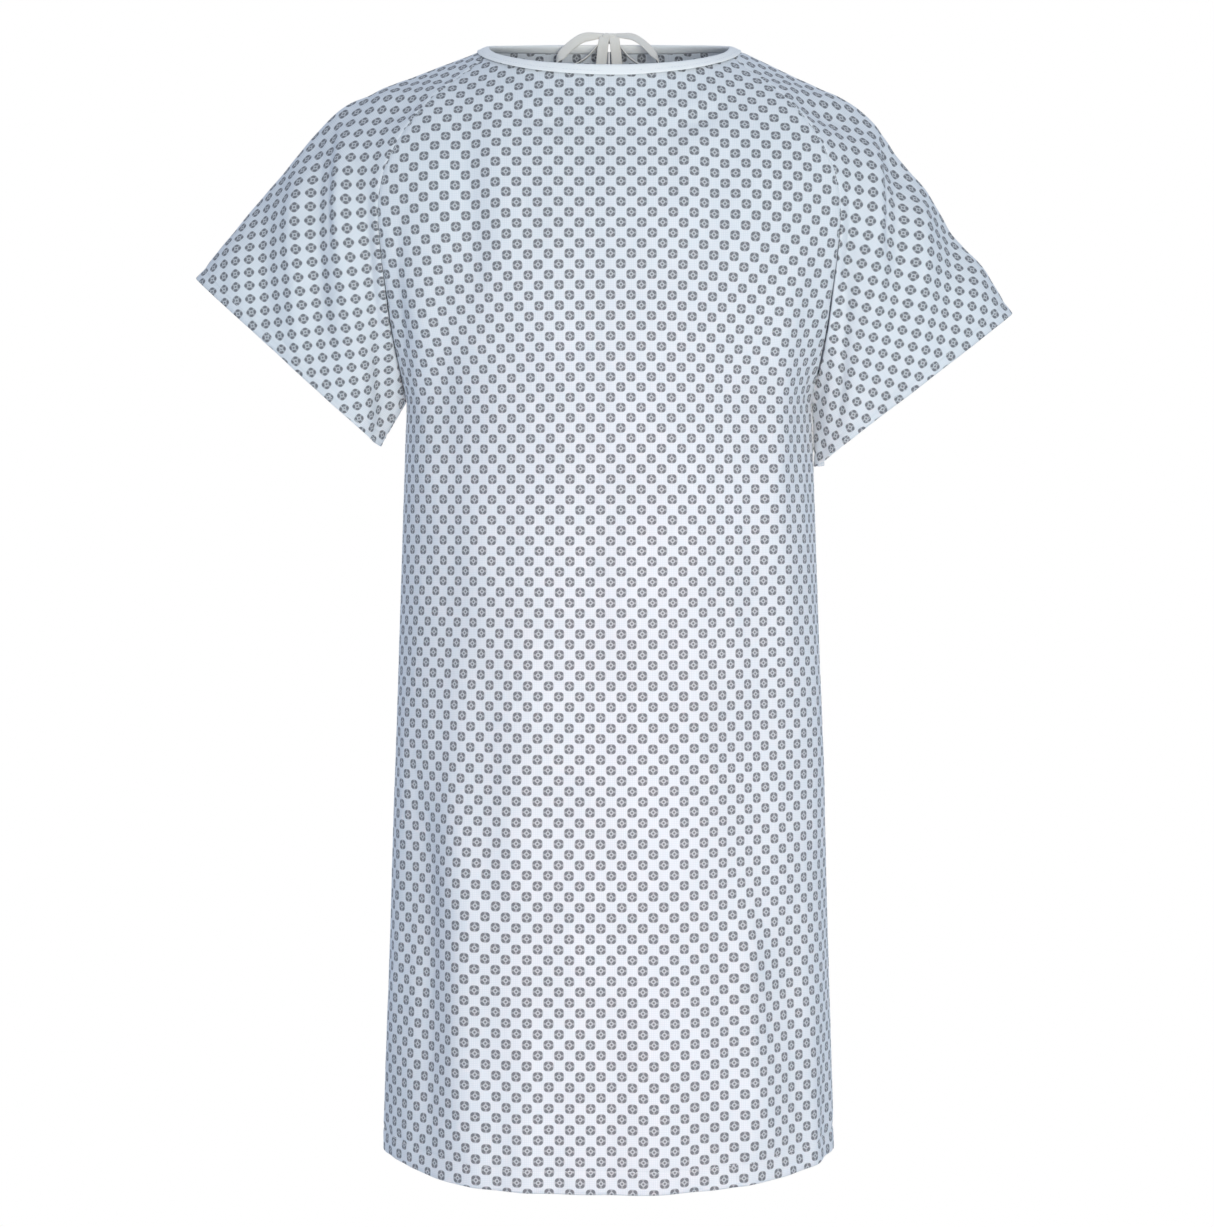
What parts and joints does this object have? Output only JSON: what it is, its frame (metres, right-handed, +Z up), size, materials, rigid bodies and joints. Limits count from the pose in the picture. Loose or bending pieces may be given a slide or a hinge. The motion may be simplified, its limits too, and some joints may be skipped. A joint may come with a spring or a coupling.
{
  "type": "patient gown",
  "caption": "Open-back hospital patient gown with raglan short sleeves, a bound round neck tied in a bow at the back, a hemmed skirt and waist ties.",
  "frame": {"origin": "middle of the neck opening, at the height of the two neck points of the shoulders, where a wearer's neck and shoulders carry the gown", "axes": "+Z up along the gown's length, -Y towards the front of the gown, +X towards the wearer's left"},
  "size_m": [0.7636, 0.2778, 1.0616],
  "materials": {
    "printed_cloth": "matt woven polyester-cotton, pale blue-white with a small grey-blue checkerboard print",
    "neck_binding": "matt white woven binding",
    "tie_tape": "matt off-white twill tape",
    "sewing_thread": "pale blue-white spun sewing thread"
  },
  "bodies": {
    "torso": {"front_panel": "printed_cloth", "front_hem_stitching": "sewing_thread", "neck_binding": "neck_binding", "neck_binding_stitching": "sewing_thread", "left_back_yoke": "printed_cloth", "left_yoke_edge_stitching": "sewing_thread", "left_sleeve_yoke": "printed_cloth", "left_neck_tie_end": "tie_tape", "left_front_raglan_stitching": "sewing_thread", "left_back_raglan_stitching": "sewing_thread", "left_side_stitching": "sewing_thread", "right_back_yoke": "printed_cloth", "right_yoke_edge_stitching": "sewing_thread", "right_sleeve_yoke": "printed_cloth", "right_neck_tie_end": "tie_tape", "right_front_raglan_stitching": "sewing_thread", "right_back_raglan_stitching": "sewing_thread", "right_side_stitching": "sewing_thread"},
    "neck_bow": {"bow_knot": "tie_tape", "bow_left_loop": "tie_tape", "bow_right_loop": "tie_tape", "bow_left_tail": "tie_tape", "bow_right_tail": "tie_tape"},
    "left_sleeve": {"left_sleeve": "printed_cloth", "left_sleeve_hem_stitching": "sewing_thread", "left_underarm_stitching": "sewing_thread"},
    "right_sleeve": {"right_sleeve": "printed_cloth", "right_sleeve_hem_stitching": "sewing_thread", "right_underarm_stitching": "sewing_thread"},
    "left_back_flap": {"left_back_flap": "printed_cloth", "left_flap_edge_stitching": "sewing_thread", "left_flap_hem_stitching": "sewing_thread"},
    "right_back_flap": {"right_back_flap": "printed_cloth", "right_flap_edge_stitching": "sewing_thread", "right_flap_hem_stitching": "sewing_thread"},
    "left_waist_tie": {"left_waist_tie": "tie_tape", "left_waist_tie_tack": "sewing_thread"},
    "right_waist_tie": {"right_waist_tie": "tie_tape", "right_waist_tie_tack": "sewing_thread"}
  },
  "joints": [
    {"name": "left_sleeve_swing", "type": "hinge", "parent": "torso", "child": "left_sleeve", "pos_m": [0.188, 0, -0.165], "axis": [0, 0, -1], "range_deg": [-25, 35]},
    {"name": "right_sleeve_swing", "type": "hinge", "parent": "torso", "child": "right_sleeve", "pos_m": [-0.188, 0, -0.165], "axis": [0, 0, 1], "range_deg": [-25, 35]},
    {"name": "left_flap_opening", "type": "hinge", "parent": "torso", "child": "left_back_flap", "pos_m": [0.1985, 0, -0.68], "axis": [0.03, 0, -0.9996], "range_deg": [0, 60]},
    {"name": "right_flap_opening", "type": "hinge", "parent": "torso", "child": "right_back_flap", "pos_m": [-0.1985, 0, -0.68], "axis": [0.03, 0, 0.9996], "range_deg": [0, 60]},
    {"name": "left_waist_tie_swing", "type": "hinge", "parent": "left_back_flap", "child": "left_waist_tie", "pos_m": [0.011, 0.12581, -0.45], "axis": [1, 0, 0], "range_deg": [0, 90]},
    {"name": "right_waist_tie_swing", "type": "hinge", "parent": "right_back_flap", "child": "right_waist_tie", "pos_m": [-0.011, 0.12581, -0.45], "axis": [1, 0, 0], "range_deg": [0, 90]},
    {"name": "neck_bow_lift", "type": "hinge", "parent": "torso", "child": "neck_bow", "pos_m": [0, 0.0778, 0.0207], "axis": [-1, 0, 0], "range_deg": [0, 90]}
  ]
}
